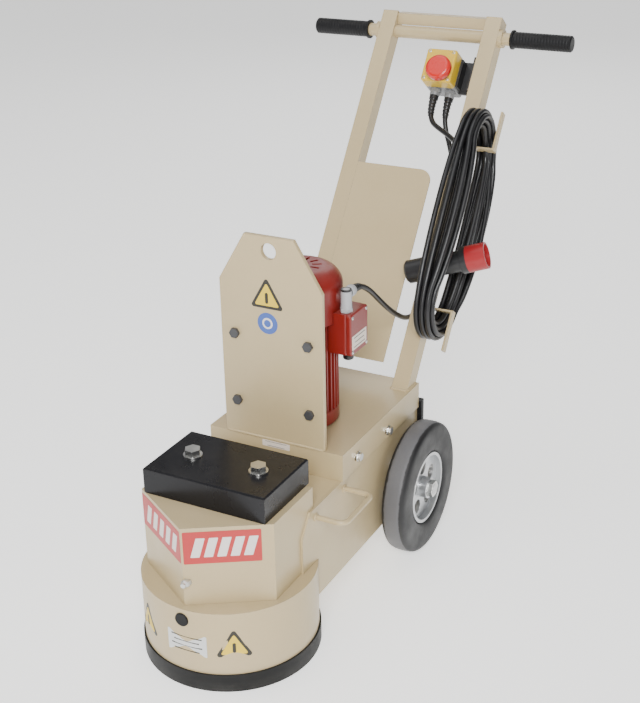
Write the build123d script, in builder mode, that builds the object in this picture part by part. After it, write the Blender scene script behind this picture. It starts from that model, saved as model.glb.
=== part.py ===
from build123d import *

import math
import os

# Walk-behind floor grinder for concrete. Millimetres, +Z up, floor at z = 0.
# +X is the right side seen from the front, -Y the grinding head, +Y the handle.
# Distances behind the spindle are called "back"; heights are above the floor.

# grinding head
drum_radius = 148
drum_top = 148
skirt_radius = 151
skirt_height = 32
sheet = 4
head_half_width = 124
head_corner_back = -60
head_tip_back = -137
head_rear_back = 67
head_top = 289
weight_half_width = 113
weight_front_back = -68
weight_rear_back = 75
weight_thickness = 46
weight_bolt_x = 62
port_height = 128
port_radius = 12

# spindle, disc and belt drive
shaft_radius = 12.5
bearing_radius = 26
bearing_width = 15
running_gap = 0.05
disc_radius = 125
segment_height = 10
disc_thickness = 8
disc_bolt_radius = 45
pulley_bottom = 162
pulley_top = 186
driven_radius = 60
drive_radius = 45
belt_depth = 10
belt_bottom = 169
belt_top = 179

# chassis and deck
frame_half_width = 128
frame_bottom_height = 76
frame_top = 250
frame_rear_back = 480
deck_half_width = 131
deck_front_back = 162
deck_top = 301
deck_sheet = 3
bail_rod = 9
bail_height = 232

# motor
plate_front_back = 162
plate_thickness = 8
plate_half_width = 97
plate_top = 670
plate_shoulder = 585
plate_top_half_width = 46
lifting_height = 645
lifting_radius = 14
foot_x = 70
foot_heights = (365.5, 490.5)
motor_back = 260
motor_radius = 67
body_bottom = 332
body_top = 505
cowl_radius = 76
cowl_top = 590
cowl_corner = 34
cowl_sheet = 3
motor_shaft_radius = 12
motor_shaft_top = 560

# wheels
wheel_radius = 125
wheel_back = 409
tyre_inner_x = 141
tyre_outer_x = 187
rim_radius = 68
axle_radius = 10

# handle: distances "along" are measured up the legs from where they meet the deck
leg_lean = 35.2
leg_foot_back = 455.3
leg_foot_height = 300.7
leg_size = 32
leg_wall = 2.5
leg_x = 110
leg_length = 739
bar_along = 702
bar_radius = 12.5
bar_half_length = 268
grip_radius = 16
grip_length = 120
grip_end_x = 271

# controls
box_left = 1
box_right = 63
box_low = 588
box_high = 655
box_rear = -35
box_split = 10
box_front = 40
button_x = 38
button_along = 611
button_radius = 25

# supply cable, wound over two hooks on the right leg
cable_radius = 5
coil_inner_x = 129
coil_outer_x = 167
coil_low = 85
coil_high = 545
coil_front = 110
coil_rear = -50
coil_band = 36
hook_size = 4

# plug lying through the coil
plug_tilt = 21
plug_length = 156
plug_start = (77, 206, 42)
cap_length = 36
collar_length = 48
socket_depth = 30

lean = math.radians(leg_lean)
leg_direction = Vector(0, math.sin(lean), math.cos(lean))
leg_front = Vector(0, -math.cos(lean), math.sin(lean))
right = Vector(1, 0, 0)

# the machine's middle, from the skirt's front to the legs' rear corners, is y = 0
leg_rear_back = leg_foot_back + leg_length * math.sin(lean) + leg_size / 2 * math.cos(lean)
spindle_y = (skirt_radius - leg_rear_back) / 2
motor_y = spindle_y + motor_back
axle_y = spindle_y + wheel_back


def level(height, back=0.0, x=0.0):
    """A horizontal plane with its origin on a vertical axis behind the spindle."""
    return Plane((x, spindle_y + back, height))


def upright(back):
    """A plane facing the front: local x is +X and local y is height."""
    return Plane(origin=(0, spindle_y + back, 0), x_dir=(1, 0, 0), z_dir=(0, -1, 0))


def side_sheet(x):
    """A plane facing +X: local x is the distance behind the spindle, local y is height."""
    return Plane(origin=(x, spindle_y, 0), x_dir=(0, 1, 0), z_dir=(1, 0, 0))


def leg_point(x, along, front):
    """A point given by its x, its distance up the legs and its distance before their middle."""
    foot = Vector(x, spindle_y + leg_foot_back, leg_foot_height)
    return foot + leg_direction * along + leg_front * front


def leg_section(x, along, front=0.0):
    """A plane across a leg: local x is +X and local y points to the rear."""
    return Plane(origin=leg_point(x, along, front), x_dir=right, z_dir=leg_direction)


def leg_face(front):
    """A plane parallel to the handle: local x is +X and local y runs up the legs."""
    return Plane(origin=leg_point(0, 0, front), x_dir=right, z_dir=leg_front)


def leg_side(x):
    """A plane facing -X: local x points to the front and local y runs up the legs."""
    return Plane(origin=leg_point(x, 0, 0), x_dir=leg_front, z_dir=(-1, 0, 0))


def wheel_plane():
    """A plane through the axle: local x runs along the axle, local y is a radius."""
    return Plane(origin=(0, axle_y, wheel_radius), x_dir=(1, 0, 0), z_dir=(0, -1, 0))


motor_axis = Axis((0, motor_y, 0), (0, 0, 1))
axle_axis = Axis((0, axle_y, wheel_radius), (1, 0, 0))

pieces = {}


# ---- grinding head ----

with BuildPart() as drum_shroud:
    with BuildSketch(level(skirt_height - 3)):
        Circle(drum_radius)
        Circle(drum_radius - sheet, mode=Mode.SUBTRACT)
    extrude(amount=drum_top - skirt_height + 3)
    with BuildSketch(level(drum_top - sheet)):
        Circle(drum_radius)
        Circle(36.5, mode=Mode.SUBTRACT)
    extrude(amount=sheet)
    with BuildSketch(upright(-drum_radius - 5)):
        with Locations((0, port_height)):
            Circle(port_radius)
    extrude(amount=-20, mode=Mode.SUBTRACT)
pieces["drum_shroud"] = drum_shroud

with BuildPart() as rubber_skirt:
    with BuildSketch(level(0)):
        Circle(skirt_radius)
        Circle(drum_radius - 6, mode=Mode.SUBTRACT)
    extrude(amount=skirt_height - 3)
    with BuildSketch(level(skirt_height - 3)):
        Circle(skirt_radius)
        Circle(drum_radius + running_gap, mode=Mode.SUBTRACT)
    extrude(amount=3)
pieces["rubber_skirt"] = rubber_skirt

head_outline = [
    (0, head_tip_back),
    (head_half_width, head_corner_back),
    (head_half_width, head_rear_back),
    (-head_half_width, head_rear_back),
    (-head_half_width, head_corner_back),
]

with BuildPart() as head_box:
    with BuildSketch(level(drum_top)):
        Polygon(*head_outline, align=None)
    extrude(amount=head_top - drum_top)
    with BuildSketch(level(drum_top)):
        Polygon(*head_outline, align=None)
        offset(amount=-3, kind=Kind.INTERSECTION)
    extrude(amount=head_top - drum_top - sheet, mode=Mode.SUBTRACT)
    with BuildSketch(level(drum_top, head_rear_back)):
        Rectangle(2 * head_half_width - 6, 20)
    extrude(amount=frame_top - drum_top, mode=Mode.SUBTRACT)
    with BuildSketch(level(head_top)):
        with Locations((-weight_bolt_x, 2), (weight_bolt_x, 2)):
            Circle(8.5)
    extrude(amount=-sheet, mode=Mode.SUBTRACT)
pieces["head_box"] = head_box

weight_middle_back = (weight_front_back + weight_rear_back) / 2
weight_top = head_top + weight_thickness

with BuildPart() as front_weight:
    with BuildSketch(level(head_top, weight_middle_back)):
        Rectangle(2 * weight_half_width, weight_rear_back - weight_front_back)
    extrude(amount=weight_thickness)
    chamfer(front_weight.edges().group_by(Axis.Z)[-1], length=2.5)
    with BuildSketch(level(weight_top)):
        with Locations((-weight_bolt_x, 2), (weight_bolt_x, 2)):
            Circle(8.5)
    extrude(amount=-weight_thickness, mode=Mode.SUBTRACT)
pieces["front_weight"] = front_weight

with BuildPart() as weight_bolts:
    for bolt_x in (-weight_bolt_x, weight_bolt_x):
        with BuildSketch(level(weight_top, 2, bolt_x)):
            Circle(16)
        extrude(amount=3)
        with BuildSketch(level(weight_top + 3, 2, bolt_x)):
            RegularPolygon(12, 6, major_radius=False)
        extrude(amount=10)
        with BuildSketch(level(weight_top, 2, bolt_x)):
            Circle(8)
        extrude(amount=-weight_thickness - 22)
        with BuildSketch(level(head_top - sheet, 2, bolt_x)):
            RegularPolygon(12, 6, major_radius=False)
        extrude(amount=-13)
pieces["weight_bolts"] = weight_bolts

with BuildPart() as port_plug:
    with BuildSketch(upright(-drum_radius - 2.5)):
        with Locations((0, port_height)):
            Circle(port_radius - running_gap)
    extrude(amount=-10)
    with BuildSketch(upright(-drum_radius + 6)):
        with Locations((0, port_height)):
            Circle(port_radius + 3)
    extrude(amount=-4)
    fillet(port_plug.edges().sort_by(Axis.Y)[0], radius=1.5)
pieces["port_plug"] = port_plug


# ---- spindle and disc ----

housing_bottom = 60
housing_flange = 156

with BuildPart() as spindle_housing:
    with BuildSketch(level(housing_bottom)):
        Circle(36)
        Circle(22, mode=Mode.SUBTRACT)
    extrude(amount=housing_flange - housing_bottom)
    with BuildSketch(level(drum_top)):
        Circle(58)
        Circle(30, mode=Mode.SUBTRACT)
    extrude(amount=housing_flange - drum_top)
    for seat_height in (housing_bottom, housing_flange - bearing_width - 2):
        with BuildSketch(level(seat_height)):
            Circle(bearing_radius)
        extrude(amount=bearing_width + 2, mode=Mode.SUBTRACT)
pieces["spindle_housing"] = spindle_housing

with BuildPart() as spindle_bearings:
    for seat_height in (housing_bottom + 2, housing_flange - bearing_width - 2):
        with BuildSketch(level(seat_height)):
            Circle(bearing_radius - running_gap)
            Circle(shaft_radius + running_gap, mode=Mode.SUBTRACT)
        extrude(amount=bearing_width)
pieces["spindle_bearings"] = spindle_bearings

disc_top = segment_height + disc_thickness

with BuildPart() as spindle_shaft:
    with BuildSketch(level(disc_top)):
        Circle(60)
    extrude(amount=10)
    with BuildSketch(level(disc_top + 10)):
        Circle(18)
    extrude(amount=housing_bottom - disc_top - 12)
    with BuildSketch(level(disc_top)):
        Circle(shaft_radius)
    extrude(amount=pulley_top + 14 - disc_top)
    with BuildSketch(level(disc_top)):
        with PolarLocations(disc_bolt_radius, 6):
            Circle(4.2)
    extrude(amount=10, mode=Mode.SUBTRACT)
pieces["spindle_shaft"] = spindle_shaft


def pulley(back, radius, bore):
    """A flanged belt pulley with one groove."""
    with BuildPart() as wheel:
        with BuildSketch(level(pulley_bottom, back)):
            Circle(radius)
        extrude(amount=pulley_top - pulley_bottom)
        with BuildSketch(level(belt_bottom - 1.5, back)):
            Circle(radius + 5)
            Circle(radius - belt_depth + 1.5, mode=Mode.SUBTRACT)
        extrude(amount=belt_top - belt_bottom + 3, mode=Mode.SUBTRACT)
        with BuildSketch(level(pulley_bottom, back)):
            Circle(bore)
        extrude(amount=pulley_top - pulley_bottom, mode=Mode.SUBTRACT)
    return wheel


driven_pulley = pulley(0, driven_radius, shaft_radius + running_gap)
pieces["driven_pulley"] = driven_pulley

with BuildPart() as grinding_disc:
    with BuildSketch(level(segment_height)):
        Circle(disc_radius)
        Circle(20, mode=Mode.SUBTRACT)
        with PolarLocations(disc_bolt_radius, 6):
            Circle(4.2, mode=Mode.SUBTRACT)
    extrude(amount=disc_thickness)
pieces["grinding_disc"] = grinding_disc

with BuildPart() as abrasive_segments:
    with BuildSketch(level(0)):
        with PolarLocations(98, 12):
            Rectangle(40, 12)
    extrude(amount=segment_height)
pieces["abrasive_segments"] = abrasive_segments

with BuildPart() as disc_bolts:
    with PolarLocations(disc_bolt_radius, 6) as bolt_ring:
        bolt_places = bolt_ring.local_locations
    for place in bolt_places:
        with BuildSketch(level(segment_height) * place):
            Circle(4)
        extrude(amount=disc_thickness + 10)
        with BuildSketch(level(segment_height - 5) * place):
            RegularPolygon(6.5, 6, major_radius=False)
        extrude(amount=5)
pieces["disc_bolts"] = disc_bolts


# ---- chassis ----

channel_outline = [
    (22, drum_top),
    (22, 213),
    (50, frame_top),
    (frame_rear_back, frame_top),
    (frame_rear_back, 200),
    (440, frame_bottom_height),
    (70, frame_bottom_height),
    (70, drum_top),
]
channel_hollow = [
    (0, drum_top - 8),
    (0, frame_top + 20),
    (frame_rear_back - sheet, frame_top + 20),
    (frame_rear_back - sheet, 200),
    (437, frame_bottom_height + sheet),
    (50, frame_bottom_height + sheet),
    (50, drum_top - 8),
]

with BuildPart() as chassis_channel:
    with BuildSketch(side_sheet(-frame_half_width)):
        Polygon(*channel_outline, align=None)
    extrude(amount=2 * frame_half_width)
    with BuildSketch(side_sheet(-head_half_width)):
        Polygon(*channel_hollow, align=None)
    extrude(amount=2 * head_half_width, mode=Mode.SUBTRACT)
    with BuildSketch(level(0)):
        Circle(drum_radius + running_gap)
    extrude(amount=drum_top, mode=Mode.SUBTRACT)
    with BuildSketch(side_sheet(-frame_half_width)):
        with Locations((wheel_back, wheel_radius)):
            Circle(axle_radius + running_gap)
    extrude(amount=2 * frame_half_width, mode=Mode.SUBTRACT)
pieces["chassis_channel"] = chassis_channel

cover_front_back = head_rear_back + 1

with BuildPart() as belt_cover:
    with BuildSketch(level(frame_top - sheet, (cover_front_back + frame_rear_back - sheet) / 2)):
        Rectangle(2 * head_half_width, frame_rear_back - sheet - cover_front_back)
    extrude(amount=sheet)
    with BuildSketch(level(frame_top, motor_back)):
        Circle(20)
    extrude(amount=-sheet, mode=Mode.SUBTRACT)
pieces["belt_cover"] = belt_cover

deck_length = frame_rear_back - deck_front_back
deck_middle_back = (frame_rear_back + deck_front_back) / 2
deck_bolt_places = ((220, 272), (343, 265))

with BuildPart() as motor_deck:
    with BuildSketch(level(frame_top, deck_middle_back)):
        Rectangle(2 * deck_half_width, deck_length)
    extrude(amount=deck_top - frame_top)
    with BuildSketch(level(frame_top, deck_middle_back)):
        Rectangle(2 * (deck_half_width - deck_sheet), deck_length - 2 * deck_sheet)
    extrude(amount=deck_top - frame_top - deck_sheet, mode=Mode.SUBTRACT)
    with BuildSketch(level(deck_top, motor_back)):
        Circle(20)
    extrude(amount=-deck_sheet, mode=Mode.SUBTRACT)
    with BuildSketch(side_sheet(-deck_half_width)):
        with Locations(*deck_bolt_places):
            SlotOverall(26, 9)
    extrude(amount=2 * deck_half_width, mode=Mode.SUBTRACT)
pieces["motor_deck"] = motor_deck

with BuildPart() as deck_bolts:
    for side in (-1, 1):
        outward = Plane(origin=(side * deck_half_width, spindle_y, 0), x_dir=(0, 1, 0), z_dir=(side, 0, 0))
        for bolt_back, bolt_height in deck_bolt_places:
            with BuildSketch(outward):
                with Locations((bolt_back, side * bolt_height)):
                    Circle(9)
            extrude(amount=1.6)
            with BuildSketch(outward.offset(1.6)):
                with Locations((bolt_back, side * bolt_height)):
                    RegularPolygon(6.5, 6, major_radius=False)
            extrude(amount=5.5)
            with BuildSketch(outward):
                with Locations((bolt_back, side * bolt_height)):
                    Circle(4)
            extrude(amount=-deck_sheet - 4)
            with BuildSketch(outward.offset(-deck_sheet)):
                with Locations((bolt_back, side * bolt_height)):
                    RegularPolygon(7, 6, major_radius=False)
            extrude(amount=-6)
pieces["deck_bolts"] = deck_bolts

with BuildPart() as lift_bails:
    for side in (-1, 1):
        front_foot = Vector(side * frame_half_width, spindle_y + 69, bail_height)
        across = Vector(side * 53, 0, 0)
        rearward = Vector(0, 104, 0)
        with BuildLine():
            rear_foot = front_foot + rearward
            FilletPolyline(front_foot, front_foot + across, rear_foot + across, rear_foot, radius=14)
        with BuildSketch(Plane(origin=front_foot, z_dir=(side, 0, 0))):
            Circle(bail_rod / 2)
        sweep()
pieces["lift_bails"] = lift_bails

with BuildPart() as rear_buffers:
    for side in (-1, 1):
        with BuildSketch(level(205, frame_rear_back + 8, side * 124)):
            RectangleRounded(24, 16, 4)
        extrude(amount=57)
pieces["rear_buffers"] = rear_buffers


# ---- motor ----

plate_outline = [
    (-plate_half_width, deck_top),
    (plate_half_width, deck_top),
    (plate_half_width, plate_shoulder),
    (plate_top_half_width, plate_top),
    (-plate_top_half_width, plate_top),
    (-plate_half_width, plate_shoulder),
]
foot_bolt_places = [(x, height) for x in (-foot_x, foot_x) for height in foot_heights]

with BuildPart() as motor_plate:
    with BuildSketch(upright(plate_front_back)):
        Polygon(*plate_outline, align=None)
        with Locations((0, lifting_height)):
            Circle(lifting_radius, mode=Mode.SUBTRACT)
        with Locations(*foot_bolt_places):
            Circle(5.5, mode=Mode.SUBTRACT)
    extrude(amount=-plate_thickness)
    chamfer(motor_plate.faces().sort_by(Axis.Y)[0].outer_wire().edges(), length=1)
pieces["motor_plate"] = motor_plate

foot_back = plate_front_back + plate_thickness
foot_thickness = 12

with BuildPart() as foot_bolts:
    for bolt_place in foot_bolt_places:
        with BuildSketch(upright(plate_front_back)):
            with Locations(bolt_place):
                RegularPolygon(8, 6, major_radius=False)
        extrude(amount=6)
        with BuildSketch(upright(plate_front_back)):
            with Locations(bolt_place):
                Circle(5)
        extrude(amount=-plate_thickness - foot_thickness - 10)
        with BuildSketch(upright(foot_back + foot_thickness)):
            with Locations(bolt_place):
                RegularPolygon(8, 6, major_radius=False)
        extrude(amount=-8)
pieces["foot_bolts"] = foot_bolts

fin_root_radius = 60
fin_depth = 14
stator_radius = 54
stator_bore = 33
stator_low = 345
stator_length = 135
rotor_low = 350
rotor_length = 125
shield_bottom = 488
foot_low = 350
foot_high = 499
foot_web_back = 228

with BuildPart() as motor_body:
    with BuildSketch(level(body_bottom, motor_back)):
        Circle(fin_root_radius)
        with PolarLocations(fin_root_radius, 40):
            Rectangle(fin_depth, 3)
    extrude(amount=body_top - body_bottom)
    with BuildSketch(level(foot_low, (foot_back + foot_web_back) / 2)):
        Rectangle(100, foot_web_back - foot_back)
    extrude(amount=foot_high - foot_low)
    with BuildSketch(level(foot_low, foot_back + foot_thickness / 2)):
        Rectangle(172, foot_thickness)
    extrude(amount=foot_high - foot_low)
    with BuildSketch(level(body_bottom, motor_back)):
        Circle(stator_radius)
    extrude(amount=shield_bottom - body_bottom, mode=Mode.SUBTRACT)
    with BuildSketch(level(shield_bottom, motor_back)):
        Circle(bearing_radius)
    extrude(amount=body_top - shield_bottom, mode=Mode.SUBTRACT)
    with BuildSketch(upright(foot_back)):
        with Locations(*foot_bolt_places):
            Circle(5.5)
    extrude(amount=-foot_thickness, mode=Mode.SUBTRACT)
pieces["motor_body"] = motor_body

bell_bottom = deck_top + 1

with BuildPart() as motor_end_bell:
    with BuildSketch(level(bell_bottom, motor_back)):
        Circle(motor_radius)
    extrude(amount=body_bottom - bell_bottom)
    chamfer(motor_end_bell.edges().group_by(Axis.Z)[0], length=6)
    with BuildSketch(level(bell_bottom, motor_back)):
        Circle(motor_shaft_radius + 2)
    extrude(amount=body_bottom - bell_bottom, mode=Mode.SUBTRACT)
    with BuildSketch(level(body_bottom - bearing_width - 4, motor_back)):
        Circle(bearing_radius)
    extrude(amount=bearing_width + 4, mode=Mode.SUBTRACT)
pieces["motor_end_bell"] = motor_end_bell

with BuildPart() as motor_bearings:
    for seat_height in (body_bottom - bearing_width - 4, body_top - bearing_width - 1):
        with BuildSketch(level(seat_height, motor_back)):
            Circle(bearing_radius - running_gap)
            Circle(motor_shaft_radius + running_gap, mode=Mode.SUBTRACT)
        extrude(amount=bearing_width)
pieces["motor_bearings"] = motor_bearings

with BuildPart() as stator_core:
    with BuildSketch(level(stator_low, motor_back)):
        Circle(stator_radius - running_gap)
        Circle(stator_bore, mode=Mode.SUBTRACT)
    extrude(amount=stator_length)
pieces["stator_core"] = stator_core

with BuildPart() as rotor_core:
    with BuildSketch(level(rotor_low, motor_back)):
        Circle(stator_bore - 0.5)
        Circle(motor_shaft_radius + running_gap, mode=Mode.SUBTRACT)
    extrude(amount=rotor_length)
pieces["rotor_core"] = rotor_core

with BuildPart() as motor_shaft:
    with BuildSketch(level(pulley_bottom - 4, motor_back)):
        Circle(motor_shaft_radius)
    extrude(amount=motor_shaft_top - pulley_bottom + 4)
pieces["motor_shaft"] = motor_shaft

drive_pulley = pulley(motor_back, drive_radius, motor_shaft_radius + running_gap)
pieces["drive_pulley"] = drive_pulley

fan_bottom = 520
fan_height = 28
fan_hub_radius = 22
fan_blade = (48, 3)

with BuildPart() as cooling_fan:
    with BuildSketch(level(fan_bottom, motor_back)):
        Circle(fan_hub_radius)
        with PolarLocations(fan_hub_radius + fan_blade[0] / 2 - 4, 7):
            Rectangle(*fan_blade)
        Circle(motor_shaft_radius + running_gap, mode=Mode.SUBTRACT)
    extrude(amount=fan_height)
pieces["cooling_fan"] = cooling_fan

cowl_inner_radius = cowl_radius - cowl_sheet
cowl_flat_radius = cowl_radius - cowl_corner
cowl_bottom = body_top - 5

with BuildPart() as fan_cowl:
    with BuildSketch(upright(motor_back)):
        with BuildLine():
            Polyline((0, cowl_top), (cowl_flat_radius, cowl_top))
            TangentArc((cowl_flat_radius, cowl_top), (cowl_radius, cowl_top - cowl_corner), tangent=(1, 0))
            Polyline((cowl_radius, cowl_top - cowl_corner), (cowl_radius, cowl_bottom))
            Polyline((cowl_radius, cowl_bottom), (cowl_inner_radius, cowl_bottom))
            Polyline((cowl_inner_radius, cowl_bottom), (cowl_inner_radius, cowl_top - cowl_corner))
            inner_arc = ((cowl_inner_radius, cowl_top - cowl_corner), (cowl_flat_radius, cowl_top - cowl_sheet))
            TangentArc(*inner_arc, tangent=(0, 1))
            Polyline((cowl_flat_radius, cowl_top - cowl_sheet), (0, cowl_top - cowl_sheet), (0, cowl_top))
        make_face()
    revolve(axis=motor_axis)
    with BuildSketch(level(cowl_top, motor_back)):
        with PolarLocations(32, 12):
            SlotOverall(17, 5)
        with PolarLocations(15, 6):
            Circle(3.5)
    extrude(amount=-cowl_sheet - 1, mode=Mode.SUBTRACT)
pieces["fan_cowl"] = fan_cowl

with BuildPart() as v_belt:
    with BuildSketch(level(belt_bottom)):
        Circle(driven_radius + 2)
        with Locations((0, motor_back)):
            Circle(drive_radius + 2)
        make_hull()
    extrude(amount=belt_top - belt_bottom)
    with BuildSketch(level(belt_bottom)):
        Circle(driven_radius - belt_depth + 2)
        with Locations((0, motor_back)):
            Circle(drive_radius - belt_depth + 2)
        make_hull()
    extrude(amount=belt_top - belt_bottom, mode=Mode.SUBTRACT)
pieces["v_belt"] = v_belt

term_inner_x = 54
term_outer_x = 101
term_front_back = 242
term_rear_back = 304
term_low = 447
term_high = 521
term_wall = 7
term_depth = 20
lid_thickness = 8
term_middle_back = (term_front_back + term_rear_back) / 2

with BuildPart() as terminal_box:
    with BuildSketch(level(term_low, term_middle_back, (term_inner_x + term_outer_x) / 2)):
        Rectangle(term_outer_x - term_inner_x, term_rear_back - term_front_back)
    extrude(amount=term_high - term_low)
    fillet(terminal_box.edges().filter_by(Axis.Z).group_by(Axis.X)[-1], radius=6)
    with BuildSketch(level(body_top - 6, motor_back)):
        Circle(cowl_radius + 1)
    extrude(amount=term_high, mode=Mode.SUBTRACT)
    with BuildSketch(level(0, motor_back)):
        Circle(motor_radius + 0.2)
    extrude(amount=term_high, mode=Mode.SUBTRACT)
    with BuildSketch(level(term_low + term_wall, term_middle_back, term_outer_x - term_depth / 2)):
        Rectangle(term_depth, term_rear_back - term_front_back - 2 * term_wall)
    extrude(amount=term_high - term_low - 2 * term_wall, mode=Mode.SUBTRACT)
pieces["terminal_box"] = terminal_box

with BuildPart() as terminal_lid:
    with BuildSketch(side_sheet(term_outer_x)):
        with Locations((term_middle_back, (term_low + term_high) / 2)):
            RectangleRounded(term_rear_back - term_front_back + 4, term_high - term_low + 2, 7)
    extrude(amount=lid_thickness)
    fillet(terminal_lid.edges().group_by(Axis.X)[-1], radius=3)
pieces["terminal_lid"] = terminal_lid


# ---- wheels ----

with BuildPart() as axle:
    with BuildSketch(side_sheet(-tyre_outer_x - 10)):
        with Locations((wheel_back, wheel_radius)):
            Circle(axle_radius)
    extrude(amount=2 * (tyre_outer_x + 10))
    for side in (-1, 1):
        with BuildSketch(side_sheet(side * (frame_half_width + 5.5) - 5)):
            with Locations((wheel_back, wheel_radius)):
                Circle(axle_radius + 5)
        extrude(amount=10)
pieces["axle"] = axle


def tyre(side):
    """A solid rubber tyre with rounded shoulders and a raised bead."""
    inner = side * tyre_inner_x
    outer = side * tyre_outer_x
    middle = (inner + outer) / 2
    with BuildPart() as ring:
        with BuildSketch(wheel_plane()) as section:
            with BuildLine():
                Polyline(
                    (inner + side * 4, rim_radius),
                    (inner, rim_radius + 8),
                    (inner, wheel_radius),
                    (outer, wheel_radius),
                    (outer, rim_radius + 8),
                    (outer - side * 4, rim_radius),
                    (inner + side * 4, rim_radius),
                )
            make_face()
            fillet(section.vertices().group_by(Axis.Y)[-1], radius=14)
        revolve(axis=axle_axis)
    return ring


def rim(side):
    """A cast rim with five openings between its spokes and a hub bored for the axle."""
    with BuildPart() as casting:
        with BuildSketch(side_sheet(side * 164 - 19)):
            with Locations((wheel_back, wheel_radius)):
                Circle(rim_radius)
                Circle(rim_radius - 6, mode=Mode.SUBTRACT)
        extrude(amount=38)
        with BuildSketch(side_sheet(side * 168 - 4)):
            with Locations((wheel_back, wheel_radius)):
                Circle(rim_radius - 4)
                with PolarLocations(40, 5, start_angle=18):
                    Circle(14, mode=Mode.SUBTRACT)
        extrude(amount=8)
        with BuildSketch(side_sheet(side * 163 - 24)):
            with Locations((wheel_back, wheel_radius)):
                Circle(20)
        extrude(amount=48)
        with BuildSketch(side_sheet(side * 163 - 30)):
            with Locations((wheel_back, wheel_radius)):
                Circle(axle_radius + running_gap)
        extrude(amount=60, mode=Mode.SUBTRACT)
    return casting


left_tyre = tyre(-1)
right_tyre = tyre(1)
left_rim = rim(-1)
right_rim = rim(1)
pieces["left_tyre"] = left_tyre
pieces["right_tyre"] = right_tyre
pieces["left_rim"] = left_rim
pieces["right_rim"] = right_rim

with BuildPart() as axle_nuts:
    for side in (-1, 1):
        with BuildSketch(side_sheet(side * (tyre_outer_x + 5) - 4.5)):
            with Locations((wheel_back, wheel_radius)):
                RegularPolygon(14, 6, major_radius=False)
                Circle(axle_radius + running_gap, mode=Mode.SUBTRACT)
        extrude(amount=9)
pieces["axle_nuts"] = axle_nuts


# ---- handle ----


def leg(side):
    """A square tube cut level at the deck, bored for the bar and closed at its top."""
    with BuildPart() as tube:
        with BuildSketch(leg_section(side * leg_x, -40)):
            Rectangle(leg_size, leg_size)
            Rectangle(leg_size - 2 * leg_wall, leg_size - 2 * leg_wall, mode=Mode.SUBTRACT)
        extrude(amount=leg_length + 37)
        with BuildSketch(leg_section(side * leg_x, leg_length - 3)):
            Rectangle(leg_size, leg_size)
        extrude(amount=3)
        split(bisect_by=Plane((0, 0, deck_top)), keep=Keep.TOP)
        with BuildSketch(leg_side(side * leg_x + leg_size)):
            with Locations((0, bar_along)):
                Circle(bar_radius + running_gap)
        extrude(amount=2 * leg_size, mode=Mode.SUBTRACT)
    return tube


left_leg = leg(-1)
right_leg = leg(1)
pieces["left_leg"] = left_leg
pieces["right_leg"] = right_leg

crossbar_back = spindle_y + leg_foot_back + 731 * math.sin(lean)
crossbar_height = leg_foot_height + 731 * math.cos(lean)

with BuildPart() as crossbar:
    with BuildSketch(Plane(origin=(leg_size / 2 - leg_x, crossbar_back, crossbar_height), z_dir=(1, 0, 0))):
        Rectangle(22, 20)
        Rectangle(18, 16, mode=Mode.SUBTRACT)
    extrude(amount=2 * leg_x - leg_size)
pieces["crossbar"] = crossbar

with BuildPart() as handlebar:
    with BuildSketch(leg_side(bar_half_length)):
        with Locations((0, bar_along)):
            Circle(bar_radius)
            Circle(bar_radius - 2.5, mode=Mode.SUBTRACT)
    extrude(amount=2 * bar_half_length)
    for collar_x in (-leg_x - leg_size / 2, leg_x + leg_size / 2 + 8):
        with BuildSketch(leg_side(collar_x)):
            with Locations((0, bar_along)):
                Circle(bar_radius + 5)
                Circle(bar_radius - 1, mode=Mode.SUBTRACT)
        extrude(amount=8)
pieces["handlebar"] = handlebar


def grip(side):
    """A closed rubber grip pushed over the bar's end."""
    outer = max(side * grip_end_x, side * (grip_end_x - grip_length))
    with BuildPart() as sleeve:
        with BuildSketch(leg_side(outer)):
            with Locations((0, bar_along)):
                Circle(grip_radius)
        extrude(amount=grip_length)
        fillet(sleeve.edges().group_by(Axis.X)[0 if side < 0 else -1], radius=5)
        with BuildSketch(leg_side(bar_half_length)):
            with Locations((0, bar_along)):
                Circle(bar_radius + running_gap)
        extrude(amount=2 * bar_half_length, mode=Mode.SUBTRACT)
    return sleeve


left_grip = grip(-1)
right_grip = grip(1)
pieces["left_grip"] = left_grip
pieces["right_grip"] = right_grip

panel_left = -94
panel_right = 65
panel_low = 34
panel_high = 417
panel_sheet = 2

with BuildPart() as handle_panel:
    with BuildSketch(leg_face(leg_size / 2 - panel_sheet)):
        with Locations(((panel_left + panel_right) / 2, (panel_low + panel_high) / 2)):
            panel = Rectangle(panel_right - panel_left, panel_high - panel_low)
        fillet(panel.vertices().sort_by(Axis.Z)[-2:].sort_by(Axis.X)[-1], radius=24)
    extrude(amount=panel_sheet)
    with BuildSketch(leg_face(-4)):
        with Locations((panel_left + panel_sheet / 2, (panel_low + panel_high) / 2)):
            Rectangle(panel_sheet, panel_high - panel_low)
    extrude(amount=leg_size / 2 + 4 - panel_sheet)
pieces["handle_panel"] = handle_panel

coil_middle = (coil_low + coil_high) / 2
hook_reach = coil_outer_x + 1
leg_outer_x = leg_x + leg_size / 2
hook_tip_x = hook_reach + hook_size
foot_plate = (leg_outer_x + 1.5, 144, 3, 38)
hook_arm = ((leg_outer_x + hook_tip_x) / 2, 163 - hook_size / 2, hook_tip_x - leg_outer_x, hook_size)
hook_tip = (hook_tip_x - hook_size / 2, 198, hook_size, 78)

with BuildPart() as cord_hooks:
    for way in (-1, 1):
        with BuildSketch(leg_face(-8)):
            for bar_x, bar_from_middle, bar_width, bar_height in (foot_plate, hook_arm, hook_tip):
                with Locations((bar_x, coil_middle + way * bar_from_middle)):
                    Rectangle(bar_width, bar_height)
        extrude(amount=16)
pieces["cord_hooks"] = cord_hooks


# ---- controls ----

box_middle = ((box_left + box_right) / 2, (box_low + box_high) / 2)
box_size = (box_right - box_left, box_high - box_low)

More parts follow.
